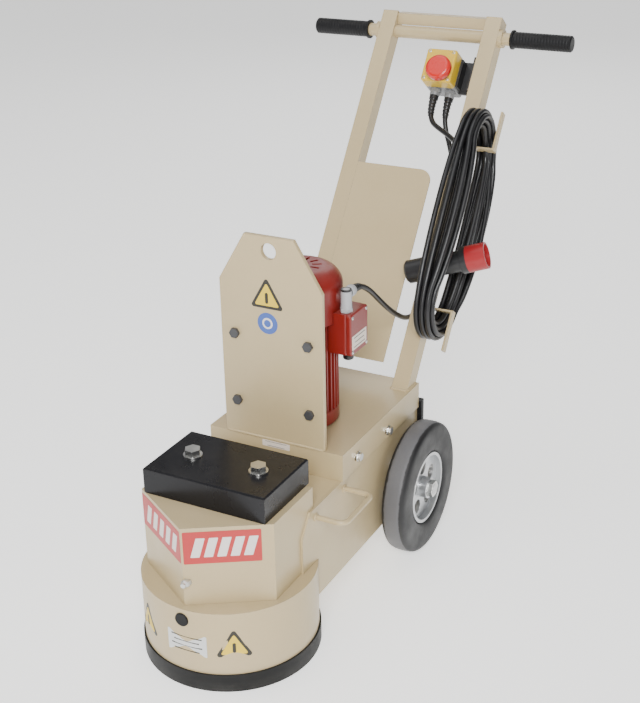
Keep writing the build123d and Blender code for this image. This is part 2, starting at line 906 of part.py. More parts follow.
with BuildPart() as switch_base:
    with BuildSketch(leg_face(box_rear)):
        with Locations(box_middle):
            RectangleRounded(*box_size, 5)
    extrude(amount=box_split - box_rear)
    with BuildSketch(leg_face(box_rear + 3)):
        with Locations(box_middle):
            Rectangle(box_size[0] - 6, box_size[1] - 6)
    extrude(amount=box_split - box_rear, mode=Mode.SUBTRACT)
pieces["switch_base"] = switch_base

stem_radius = 8

with BuildPart() as switch_lid:
    with BuildSketch(leg_face(box_split)):
        with Locations(box_middle):
            RectangleRounded(*box_size, 5)
    extrude(amount=box_front - box_split)
    fillet(switch_lid.faces().sort_by(Axis(origin=(0, 0, 0), direction=leg_front))[-1].edges(), radius=4)
    with BuildSketch(leg_face(box_split)):
        with Locations(box_middle):
            Rectangle(box_size[0] - 6, box_size[1] - 6)
    extrude(amount=box_front - box_split - 4, mode=Mode.SUBTRACT)
    with BuildSketch(leg_face(box_front)):
        with Locations((button_x, button_along)):
            Circle(stem_radius + 0.3)
    extrude(amount=-5, mode=Mode.SUBTRACT)
pieces["switch_lid"] = switch_lid

with BuildPart() as switch_bracket:
    with BuildSketch(leg_face(-22)):
        with Locations(((box_right + leg_x - leg_size / 2) / 2, box_middle[1])):
            Rectangle(leg_x - leg_size / 2 - box_right, 66)
    extrude(amount=6)
    with BuildSketch(leg_face(-16)):
        with Locations((leg_x - leg_size / 2 - 2, box_middle[1])):
            Rectangle(4, 66)
    extrude(amount=30)
    with BuildSketch(leg_face(-16)):
        with Locations((box_right + 2, box_middle[1])):
            Rectangle(4, 56)
    extrude(amount=24)
pieces["switch_bracket"] = switch_bracket

button_gap = 7
cap_rear = box_front + button_gap

with BuildPart() as stop_stem:
    with BuildSketch(leg_face(box_split + 5)):
        with Locations((button_x, button_along)):
            Circle(stem_radius)
    extrude(amount=cap_rear + 4 - box_split - 5)
    with BuildSketch(leg_face(box_split + 5)):
        with Locations((button_x, button_along)):
            Circle(stem_radius + 6)
    extrude(amount=3)
pieces["stop_stem"] = stop_stem

with BuildPart() as stop_head:
    with BuildSketch(leg_face(cap_rear)):
        with Locations((button_x, button_along)):
            Circle(button_radius)
    extrude(amount=14)
    fillet(stop_head.faces().sort_by(Axis(origin=(0, 0, 0), direction=leg_front))[-1].edges(), radius=7)
    with BuildSketch(leg_face(cap_rear)):
        with Locations((button_x, button_along)):
            Circle(stem_radius + running_gap)
    extrude(amount=4 + running_gap, mode=Mode.SUBTRACT)
pieces["stop_head"] = stop_head

with BuildPart() as stop_spring:
    with BuildSketch(leg_face(box_split - 12)):
        with Locations((button_x, button_along)):
            Circle(stem_radius - 1)
            Circle(stem_radius - 3, mode=Mode.SUBTRACT)
    extrude(amount=16.5)
pieces["stop_spring"] = stop_spring

supply_exit = (22, 566, 0)
lead_exit = (50, 568, -8)
motor_gland_back = 258
motor_gland_x = 92
motor_exit_height = 553
gland_radius = 9

with BuildPart() as cable_glands:
    for exit_x, exit_along, exit_front in (supply_exit, lead_exit):
        with BuildSketch(leg_section(exit_x, exit_along, exit_front)):
            Circle(gland_radius)
        extrude(amount=box_low - exit_along)
    with BuildSketch(level(term_high, motor_gland_back, motor_gland_x)):
        Circle(gland_radius)
    extrude(amount=motor_exit_height - term_high + gland_radius)
    elbow = (motor_gland_x, spindle_y + motor_gland_back, motor_exit_height)
    with BuildSketch(Plane(origin=elbow, z_dir=(0, 1, 0))):
        Circle(gland_radius - 1)
    extrude(amount=16)
pieces["cable_glands"] = cable_glands


# ---- cords ----


def route_radii(points):
    """The arc at each corner: 0.45 of its shorter run over the tangent of half the turn."""
    radii = []
    for before, corner, after in zip(points, points[1:], points[2:]):
        arriving = corner - before
        leaving = after - corner
        half_turn = math.radians(arriving.get_angle(leaving) / 2)
        radii.append(0.45 * min(arriving.length, leaving.length) / math.tan(half_turn))
    return radii


def cord_tube(name, points):
    """A round cable along straight runs joined by arcs, with its radii and volume printed."""
    radii = route_radii(points)
    with BuildPart() as tube:
        with BuildLine() as path:
            FilletPolyline(*points, radius=radii)
        with BuildSketch(Plane(origin=points[0], z_dir=points[1] - points[0])):
            Circle(cable_radius)
        sweep()
    length = path.wires()[0].length
    runs = [(after - before).length for before, after in zip(points, points[1:])]
    expected = math.pi * cable_radius**2 * length
    print(name, "length", round(length), "least radius", round(min(radii)))
    print(name, "runs", [round(run) for run in runs])
    print(name, "volume ratio", round(tube.part.volume / expected, 4))
    return tube


# the motor lead leaves the terminal box, hangs to the right leg and climbs it to the switch
hanging_route = [(92, 274, 553), (92, 304, 553), (91.5, 345, 531), (91, 385, 498), (90.5, 426, 465)]
hanging_route += [(90, 468, 436), (89, 510, 413), (88, 553, 405), (88, 592, 424)]
climbing_route = [(88.5, 222, -37), (89, 268, -33), (89, 318, -33), (89, 366, -34), (88, 412, -34)]
climbing_route += [(83, 452, -30), (70, 484, -23), (57, 512, -14), (50, 540, -8), lead_exit]
motor_lead_points = [Vector(x, spindle_y + back, height) for x, back, height in hanging_route]
motor_lead_points += [leg_point(*place) for place in climbing_route]
motor_lead = cord_tube("motor_lead", motor_lead_points)
pieces["motor_lead"] = motor_lead

# the supply cable leaves the switch, passes before the leg and joins the coil
supply_route = [supply_exit, (22, 541, 0), (34, 516, 7), (60, 500, 16), (88, 484, 28)]
supply_route += [(111, 466, 41), (130, 443, 57), (139, 416, 78)]
supply_lead = cord_tube("supply_lead", [leg_point(*place) for place in supply_route])
pieces["supply_lead"] = supply_lead

coil_size = (coil_high - coil_low, coil_front - coil_rear)

with BuildPart() as cable_coil:
    with BuildSketch(leg_side(coil_outer_x)):
        with Locations(((coil_front + coil_rear) / 2, coil_middle)):
            SlotOverall(*coil_size, rotation=90)
            SlotOverall(*(size - 2 * coil_band for size in coil_size), rotation=90, mode=Mode.SUBTRACT)
    extrude(amount=coil_outer_x - coil_inner_x)
pieces["cable_coil"] = cable_coil

# the plug's axis rises to the outside; its cable enters from above
tilt = math.radians(plug_tilt)
plug_direction = right * math.cos(tilt) + leg_direction * math.sin(tilt)
plug_end = leg_point(*plug_start)


def plug_plane(distance):
    """A plane across the plug at a distance from its inner end."""
    return Plane(origin=plug_end + plug_direction * distance, z_dir=plug_direction)


entry_x = 145
entry_along = 270

with BuildPart() as plug_cap:
    with BuildSketch(plug_plane(0)):
        Circle(22)
    extrude(amount=cap_length)
    chamfer(plug_cap.faces().sort_by(Axis.X)[0].edges(), length=4)
pieces["plug_cap"] = plug_cap

# the pins stand in a recess inside the collar
with BuildPart() as plug_body:
    with BuildSketch(plug_plane(cap_length)):
        Circle(20)
    extrude(amount=plug_length - collar_length - cap_length)
    with BuildSketch(plug_plane(plug_length - collar_length)):
        Circle(25)
    extrude(amount=collar_length)
    with BuildSketch(plug_plane(plug_length)):
        Circle(21)
    extrude(amount=-socket_depth, mode=Mode.SUBTRACT)
    with BuildSketch(plug_plane(plug_length - socket_depth)):
        with PolarLocations(11, 5):
            Circle(3)
    extrude(amount=socket_depth - 6)
    with BuildSketch(leg_section(entry_x, entry_along, plug_start[2])):
        Circle(gland_radius)
    extrude(amount=plug_start[1] + 30 - entry_along)
pieces["plug_body"] = plug_body

# inside the coil the cable comes down to the plug
plug_route = [(152, 404, 76), (150, 371, 61), (147, 334, 48), (entry_x, 302, plug_start[2])]
plug_route += [(entry_x, entry_along, plug_start[2])]
plug_lead = cord_tube("plug_lead", [leg_point(*place) for place in plug_route])
pieces["plug_lead"] = plug_lead


os.makedirs("parts", exist_ok=True)
for name, piece in pieces.items():
    piece.part.label = name
    export_step(piece.part, f"parts/{name}.step")
print(len(pieces), "pieces, spindle at y =", round(spindle_y, 3))
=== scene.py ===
import math

import bmesh
import bpy
import numpy as np
from mathutils import Matrix, Vector


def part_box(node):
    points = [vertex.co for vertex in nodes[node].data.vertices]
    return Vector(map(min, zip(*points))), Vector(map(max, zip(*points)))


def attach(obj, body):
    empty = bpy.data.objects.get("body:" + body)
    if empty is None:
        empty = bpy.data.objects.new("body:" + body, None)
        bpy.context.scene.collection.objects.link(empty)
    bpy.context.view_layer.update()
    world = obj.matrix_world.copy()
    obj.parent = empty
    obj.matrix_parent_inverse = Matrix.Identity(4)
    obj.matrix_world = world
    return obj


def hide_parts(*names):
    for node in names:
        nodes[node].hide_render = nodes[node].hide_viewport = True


# Walk-behind floor grinder. Metres, +Z up, floor at z = 0, -Y the grinding head, +X its right side.
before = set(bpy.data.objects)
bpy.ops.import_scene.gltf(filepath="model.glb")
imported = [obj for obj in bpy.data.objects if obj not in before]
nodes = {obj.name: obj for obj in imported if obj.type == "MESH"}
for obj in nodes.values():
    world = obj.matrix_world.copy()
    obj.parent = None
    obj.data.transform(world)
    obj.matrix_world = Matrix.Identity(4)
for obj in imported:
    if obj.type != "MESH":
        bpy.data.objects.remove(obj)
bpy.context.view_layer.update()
print("frame loaded,", len(nodes), "nodes")


def middle(node):
    low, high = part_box(node)
    return np.array((low + high) / 2)


spindleY = middle("drum_shroud")[1]
drumRadius = (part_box("drum_shroud")[1].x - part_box("drum_shroud")[0].x) / 2
across = np.array([1.0, 0.0, 0.0])
rearward = np.array([0.0, 1.0, 0.0])
upward = np.array([0.0, 0.0, 1.0])

# the two legs lean back from the deck; places on the handle are given along and before them
handle = {"lean": math.radians(35.2), "footBack": 0.4553, "footHeight": 0.3007, "legX": 0.110,
          "legSize": 0.032}
legUp = np.array([0.0, math.sin(handle["lean"]), math.cos(handle["lean"])])
legFront = np.array([0.0, -math.cos(handle["lean"]), math.sin(handle["lean"])])
legFoot = np.array([0.0, spindleY + handle["footBack"], handle["footHeight"]])


def legPoint(x, along, front):
    # the foot, plus x across, plus the distance up the legs, plus the distance before their middle
    x, along, front = np.broadcast_arrays(x, along, front)
    return legFoot + x[..., None] * across + along[..., None] * legUp + front[..., None] * legFront


def behindSpindle(x, back, height):
    return np.array([x, spindleY + back, height])


# camera
cameraView = {"place": (0.99927, -1.90325, 1.34466), "yaw": 28.19, "pitch": 24.08, "roll": -1.08,
              "lens": 65.9}


def placeCamera():
    data = bpy.data.cameras.new("camera")
    data.lens = cameraView["lens"]
    data.sensor_width = 36
    camera = bpy.data.objects.new("camera", data)
    bpy.context.scene.collection.objects.link(camera)
    turn = Matrix.Rotation(math.radians(cameraView["yaw"]), 4, "Z")
    turn = turn @ Matrix.Rotation(math.radians(90 - cameraView["pitch"]), 4, "X")
    turn = turn @ Matrix.Rotation(math.radians(cameraView["roll"]), 4, "Z")
    camera.matrix_world = Matrix.Translation(cameraView["place"]) @ turn
    bpy.context.scene.camera = camera


placeCamera()
print("camera placed")

# cords
cable = {"diameter": 0.010, "turns": 11, "stepsPerPoint": 6}

motorRoute = [behindSpindle(*place) for place in (
    (0.092, 0.274, 0.553), (0.092, 0.304, 0.553), (0.0915, 0.345, 0.531), (0.091, 0.385, 0.498),
    (0.0905, 0.426, 0.465), (0.090, 0.468, 0.436), (0.089, 0.510, 0.413), (0.088, 0.553, 0.405),
    (0.088, 0.592, 0.424))]
motorRoute += [legPoint(*place) for place in (
    (0.0885, 0.222, -0.037), (0.089, 0.268, -0.033), (0.089, 0.318, -0.033), (0.089, 0.366, -0.034),
    (0.088, 0.412, -0.034), (0.083, 0.452, -0.030), (0.070, 0.484, -0.023), (0.057, 0.512, -0.014),
    (0.050, 0.540, -0.008), (0.050, 0.568, -0.008))]
supplyRoute = [(0.022, 0.566, 0.0), (0.022, 0.541, 0.0), (0.034, 0.516, 0.007), (0.060, 0.500, 0.016),
               (0.088, 0.484, 0.028), (0.111, 0.466, 0.041), (0.130, 0.443, 0.057), (0.139, 0.416, 0.078)]
plugRoute = [(0.152, 0.404, 0.076), (0.150, 0.371, 0.061), (0.147, 0.334, 0.048), (0.145, 0.302, 0.042),
             (0.145, 0.270, 0.042)]

# the coil hangs over the two hooks: a long loop with straight sides and half-round ends
coil = {
    "middleAlong": 0.315, "halfStraight": 0.150, "middleFront": 0.030,
    "lanes": [(0.139, 0.048), (0.134, 0.057), (0.1395, 0.066), (0.134, 0.075), (0.145, 0.075), (0.156, 0.075),
              (0.162, 0.066), (0.151, 0.066), (0.1455, 0.057), (0.157, 0.057), (0.152, 0.047),
              (0.152, 0.047)],
    "fanOut": 0.55, "swell": 0.40, "stray": 0.0035, "topHook": 0.013, "lowHook": 0.006,
}


def coilTurns():
    # stations once round: down the front side, round the low end, up the rear side, round the top end
    sides = np.array([0.125, 0.065, 0.0, -0.065, -0.125])
    bend = np.linspace(0, math.pi, 7)
    out = np.concatenate([np.ones(5), np.cos(bend), -np.ones(5), -np.cos(bend)])
    fixed = np.concatenate([sides, np.full(7, -coil["halfStraight"]), -sides,
                            np.full(7, coil["halfStraight"])])
    rise = np.concatenate([np.zeros(5), -np.sin(bend), np.zeros(5), np.sin(bend)])
    loose = np.concatenate([[0.45, 0.9, 1.0, 0.85, 0.4], np.zeros(7), [0.4, 0.85, 1.0, 0.9, 0.45],
                            np.zeros(7)])
    hooked = np.concatenate([np.zeros(5), [0, 0, 0, 0.4, 1, 0.8, 0.3], np.zeros(5),
                             [0.3, 0.8, 1, 0.4, 0, 0, 0]])
    pull = np.where(rise > 0, coil["topHook"], coil["lowHook"]) * hooked
    # every turn starts in its own lane and moves to the next one while it climbs the rear side
    lanes = np.array(coil["lanes"])
    change = np.clip((np.arange(24) - 10) / 9, 0, 1)
    change = change * change * (3 - 2 * change)
    lane = lanes[:-1, None] * (1 - change[:, None]) + lanes[1:, None] * change[:, None]
    stray = np.random.default_rng(5).uniform(-1, 1, (2, cable["turns"], 2)) * coil["stray"]
    side = np.concatenate([np.zeros(12, int), np.ones(12, int)])
    x = lane[..., 0] + loose * ((lane[..., 0] - 0.134) * coil["fanOut"] + stray[0][:, side])
    width = lane[..., 1] + loose * ((lane[..., 1] - 0.047) * coil["swell"] + stray[1][:, side]) - pull
    points = legPoint(x, coil["middleAlong"] + fixed + width * rise, coil["middleFront"] + width * out)
    return points.reshape(-1, 3)[1:]  # the first station is the end of the supply route


def cordCurve(name, route):
    curve = bpy.data.curves.new(name, "CURVE")
    curve.dimensions = "3D"
    curve.resolution_u = cable["stepsPerPoint"]
    spline = curve.splines.new("NURBS")
    spline.points.add(len(route) - 1)
    spline.points.foreach_set("co", np.column_stack([route, np.ones(len(route))]).ravel())
    spline.points.foreach_set("radius", np.full(len(route), cable["diameter"] / 2))
    spline.order_u = 3
    spline.use_endpoint_u = True
    cord = bpy.data.objects.new(name, curve)
    bpy.context.scene.collection.objects.link(cord)
    line = bpy.data.meshes.new_from_object(cord)  # the spline's own line, before it gets its thickness
    points = np.empty(len(line.vertices) * 3)
    line.vertices.foreach_get("co", points)
    bpy.data.meshes.remove(line)
    points = points.reshape(-1, 3)
    curve.bevel_depth = 1.0  # times each point's radius
    curve.bevel_resolution = 3
    curve.use_fill_caps = True
    length = np.linalg.norm(np.diff(points, axis=0), axis=1).sum()
    print(name, "is", round(float(length), 3), "m long")
    return cord, points, float(length)


supplyPoints = [legPoint(*place) for place in supplyRoute] + list(coilTurns())
supplyPoints += [legPoint(*place) for place in plugRoute]
motorLead, motorLine, motorLength = cordCurve("motorLead", np.array(motorRoute))
supplyCord, supplyLine, supplyLength = cordCurve("supplyCord", np.array(supplyPoints))
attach(motorLead, "frame")
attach(supplyCord, "frame")
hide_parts("motor_lead")
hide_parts("supply_lead", "cable_coil", "plug_lead")

# stage and light
studio = {"floorSize": 40.0, "floorColour": (0.86, 0.86, 0.85, 1.0),
          "worldColour": (0.95, 0.96, 1.0, 1.0), "worldStrength": 0.18, "floorGlow": 1.1}
lamps = [
    {"name": "keyLight", "place": (1.7, -3.6, 2.9), "aim": (0.0, -0.1, 0.4), "size": 1.8, "power": 250},
    {"name": "topLight", "place": (-0.4, -0.4, 4.0), "aim": (0.0, 0.0, 0.3), "size": 3.0, "power": 70},
    {"name": "sideLight", "place": (-3.2, -1.6, 1.6), "aim": (0.0, 0.0, 0.4), "size": 2.0, "power": 16},
    {"name": "rearLight", "place": (-1.0, 3.6, 2.6), "aim": (0.0, 0.2, 0.4), "size": 2.2, "power": 35},
]


def lightStudio():
    for lamp in lamps:
        data = bpy.data.lights.new(lamp["name"], "AREA")
        data.shape, data.size, data.energy = "SQUARE", lamp["size"], lamp["power"]
        light = bpy.data.objects.new(lamp["name"], data)
        bpy.context.scene.collection.objects.link(light)
        light.location = lamp["place"]
        light.rotation_mode = "QUATERNION"
        light.rotation_quaternion = (Vector(lamp["aim"]) - light.location).to_track_quat("-Z", "Y")
    world = bpy.data.worlds.new("studio")
    world.use_nodes = True
    background = world.node_tree.nodes["Background"]
    background.inputs["Color"].default_value = studio["worldColour"]
    background.inputs["Strength"].default_value = studio["worldStrength"]
    bpy.context.scene.world = world


lightStudio()
print("studio lit")


# shader groups
def addNode(tree, kind, sockets=None, **settings):
    made = tree.nodes.new("ShaderNode" + kind)
    for key, value in settings.items():
        setattr(made, key, value)
    for socket, value in (sockets or {}).items():
        if isinstance(value, bpy.types.NodeSocket):
            tree.links.new(value, made.inputs[socket])
        else:
            made.inputs[socket].default_value = value
    return made


def newGroup(name, inputs, outputs):
    group = bpy.data.node_groups.new(name, "ShaderNodeTree")
    for label, (kind, value) in inputs.items():
        group.interface.new_socket(label, in_out="INPUT",
                                   socket_type="NodeSocket" + kind).default_value = value
    for label, kind in outputs.items():
        group.interface.new_socket(label, in_out="OUTPUT", socket_type="NodeSocket" + kind)
    return group, group.nodes.new("NodeGroupInput").outputs, group.nodes.new("NodeGroupOutput")


def remap(tree, value, low, high, newLow=0.0, newHigh=1.0):
    sockets = {"Value": value, "From Min": low, "From Max": high, "To Min": newLow, "To Max": newHigh}
    return addNode(tree, "MapRange", sockets).outputs["Result"]


def combine(tree, operation, first, second):
    return addNode(tree, "Math", {0: first, 1: second}, operation=operation).outputs[0]


def noise(tree, scale, detail=3.0, roughness=0.55, vector=None):
    place = vector or addNode(tree, "TexCoord").outputs["Object"]
    sockets = {"Vector": place, "Scale": scale, "Detail": detail, "Roughness": roughness}
    return addNode(tree, "TexNoise", sockets).outputs["Fac"]


def makeSoftEdge():
    # a rounded normal near every edge, and how far it turns from the true one, broken up by noise, as wear
    group, given, end = newGroup(
        "softEdge", {"Radius": ("Float", 0.0012), "Chips": ("Float", 0.5)},
        {"Normal": "Vector", "Wear": "Float"})
    rounded = addNode(group, "Bevel", {"Radius": given["Radius"]}, samples=4).outputs["Normal"]
    flat = addNode(group, "NewGeometry").outputs["Normal"]
    along = addNode(group, "VectorMath", {0: rounded, 1: flat}, operation="DOT_PRODUCT").outputs["Value"]
    turned = remap(group, along, 0.985, 0.80)
    broken = combine(group, "ADD", noise(group, 160.0, 4.0, 0.7),
                     combine(group, "SUBTRACT", given["Chips"], 0.5))
    worn = remap(group, combine(group, "MULTIPLY", turned, broken), 0.36, 0.44)
    group.links.new(rounded, end.inputs["Normal"])
    group.links.new(worn, end.inputs["Wear"])
    return group


def makeSettledDust():
    # more on faces that look up and near the floor, in soft clouds
    inputs = {"Amount": ("Float", 0.3), "Splash Height": ("Float", 0.12), "Cloud Scale": ("Float", 14.0)}
    group, given, end = newGroup("settledDust", inputs, {"Mask": "Float"})
    place = addNode(group, "TexCoord")
    facing = addNode(group, "SeparateXYZ", {0: place.outputs["Normal"]}).outputs["Z"]
    height = addNode(group, "SeparateXYZ", {0: place.outputs["Object"]}).outputs["Z"]
    lying = remap(group, facing, 0.4, 1.0, 0.0, 0.55)
    low = remap(group, combine(group, "DIVIDE", height, given["Splash Height"]), 1.0, 0.0, 0.0, 0.9)
    clouds = remap(group, noise(group, given["Cloud Scale"], 5.0, 0.65), 0.38, 0.72, 0.15, 1.0)
    speckle = remap(group, noise(group, 420.0, 2.0, 0.6), 0.35, 0.7, 0.6, 1.0)
    broken = combine(group, "MULTIPLY", clouds, speckle)
    shade = combine(group, "MULTIPLY", combine(group, "ADD", lying, low), broken)
    group.links.new(combine(group, "MULTIPLY", shade, given["Amount"]), end.inputs["Mask"])
    return group


def makeColourDrift():
    # a broad and a fine noise lighten and darken the colour a little
    inputs = {"Colour": ("Color", (0.5, 0.5, 0.5, 1.0)), "Amount": ("Float", 0.06), "Scale": ("Float", 6.0)}
    group, given, end = newGroup("colourDrift", inputs, {"Colour": "Color"})
    broad = noise(group, given["Scale"], 3.0, 0.5)
    fine = noise(group, combine(group, "MULTIPLY", given["Scale"], 23.0), 2.0, 0.6)
    mixed = combine(group, "ADD", combine(group, "MULTIPLY", broad, 0.7),
                    combine(group, "MULTIPLY", fine, 0.3))
    offset = combine(group, "SUBTRACT", mixed, 0.5)
    lift = combine(group, "MULTIPLY", offset, combine(group, "MULTIPLY", given["Amount"], 4.0))
    sockets = {"Color": given["Colour"], "Value": combine(group, "ADD", lift, 1.0)}
    changed = addNode(group, "HueSaturation", sockets)
    group.links.new(changed.outputs["Color"], end.inputs["Colour"])
    return group


def makeFineGrain():
    # height of the skin: orange peel or casting pimples over a much finer tooth
    inputs = {"Peel Scale": ("Float", 380.0), "Tooth Scale": ("Float", 1600.0), "Tooth Share": ("Float", 0.3)}
    group, given, end = newGroup("fineGrain", inputs, {"Height": "Float"})
    peel = noise(group, given["Peel Scale"], 2.0, 0.5)
    tooth = combine(group, "MULTIPLY", noise(group, given["Tooth Scale"], 2.0, 0.6), given["Tooth Share"])
    group.links.new(combine(group, "ADD", peel, tooth), end.inputs["Height"])
    return group


softEdge = makeSoftEdge()
settledDust = makeSettledDust()
colourDrift = makeColourDrift()
fineGrain = makeFineGrain()
dustColour = (0.46, 0.43, 0.38, 1.0)
print("shader groups built")


# materials
def placeGroup(tree, group, sockets):
    return addNode(tree, "Group", sockets, node_tree=group)


def mixColour(tree, share, first, second):
    sockets = {"Factor": share, "A": first, "B": second}
    made = addNode(tree, "Mix", data_type="RGBA")
    for socket, value in zip((made.inputs[0], made.inputs[6], made.inputs[7]), sockets.values()):
        if isinstance(value, bpy.types.NodeSocket):
            tree.links.new(value, socket)
        else:
            socket.default_value = value
    return made.outputs[2]


def makeFinish(name, colour, roughness=0.5, metal=0.0, coat=0.0, coatRoughness=0.15, specular=0.5, drift=0.06,
               driftScale=7.0, peel=380.0, tooth=1600.0, toothShare=0.3, bump=0.12, bumpHeight=0.0004,
               edge=0.0012,
               wearColour=(0.35, 0.33, 0.30, 1.0), wear=0.0, wearMetal=0.0, dust=0.2, splash=0.12, smear=0.08,
               pattern=None):
    material = bpy.data.materials.new(name)
    material.use_nodes = True
    tree = material.node_tree
    shader = tree.nodes["Principled BSDF"]
    edges = placeGroup(tree, softEdge, {"Radius": edge, "Chips": wear})
    dusty = placeGroup(tree, settledDust, {"Amount": dust, "Splash Height": splash}).outputs["Mask"]
    base = pattern(tree) if pattern else colour
    drifted = placeGroup(tree, colourDrift, {"Colour": base, "Amount": drift,
                                             "Scale": driftScale}).outputs["Colour"]
    worn = mixColour(tree, edges.outputs["Wear"], drifted, wearColour)
    tree.links.new(mixColour(tree, dusty, worn, dustColour), shader.inputs["Base Color"])
    smears = remap(tree, noise(tree, 18.0, 4.0, 0.6), 0.3, 0.7, roughness - smear, roughness + smear)
    tree.links.new(combine(tree, "ADD", smears, combine(tree, "MULTIPLY", dusty, 0.4)),
                   shader.inputs["Roughness"])
    if metal or wearMetal:
        metalShare = remap(tree, edges.outputs["Wear"], 0.0, 1.0, metal, max(metal, wearMetal))
        clean = combine(tree, "SUBTRACT", 1.0, dusty)
        tree.links.new(combine(tree, "MULTIPLY", metalShare, clean), shader.inputs["Metallic"])
    shader.inputs["Specular IOR Level"].default_value = specular
    shader.inputs["Coat Weight"].default_value = coat
    shader.inputs["Coat Roughness"].default_value = coatRoughness
    grain = placeGroup(tree, fineGrain, {"Peel Scale": peel, "Tooth Scale": tooth, "Tooth Share": toothShare})
    sockets = {"Strength": bump, "Distance": bumpHeight, "Height": grain.outputs["Height"],
               "Normal": edges.outputs["Normal"]}
    tree.links.new(addNode(tree, "Bump", sockets).outputs["Normal"], shader.inputs["Normal"])
    return material


def wheelPattern(wheelNode, treadColour, wallColour, wallStart):
    # grey tread and black walls, told apart by the distance from the wheel's middle plane
    low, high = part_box(wheelNode)
    centre = (low + high) / 2
    halfWidth = (high.x - low.x) / 2

    def pattern(tree):
        place = addNode(tree, "TexCoord").outputs["Object"]
        moved = addNode(tree, "VectorMath", {0: place, 1: centre}, operation="SUBTRACT").outputs["Vector"]
        parts = addNode(tree, "SeparateXYZ", {0: moved}).outputs
        sideways = combine(tree, "ABSOLUTE", parts["X"], 0.0)
        edge = combine(tree, "ADD", sideways, combine(tree, "MULTIPLY", noise(tree, 90.0, 3.0), 0.004))
        share = remap(tree, edge, halfWidth - wallStart, halfWidth - wallStart + 0.002)
        return mixColour(tree, share, treadColour, wallColour)
    return pattern


plug = {"tilt": math.radians(21), "start": (0.077, 0.206, 0.042), "redFrom": 0.119, "fade": 0.0006,
        "barrel": (0.014, 0.014, 0.015, 1), "collar": (0.34, 0.012, 0.016, 1)}


def plugPattern(tree):
    # black along the barrel and red on the collar's end, told by the distance along the plug's axis
    axis = math.cos(plug["tilt"]) * across + math.sin(plug["tilt"]) * legUp
    place = addNode(tree, "TexCoord").outputs["Object"]
    sockets = {0: place, 1: legPoint(*plug["start"])}
    moved = addNode(tree, "VectorMath", sockets, operation="SUBTRACT").outputs["Vector"]
    along = addNode(tree, "VectorMath", {0: moved, 1: axis}, operation="DOT_PRODUCT").outputs["Value"]
    share = remap(tree, along, plug["redFrom"], plug["redFrom"] + plug["fade"])
    return mixColour(tree, share, plug["barrel"], plug["collar"])


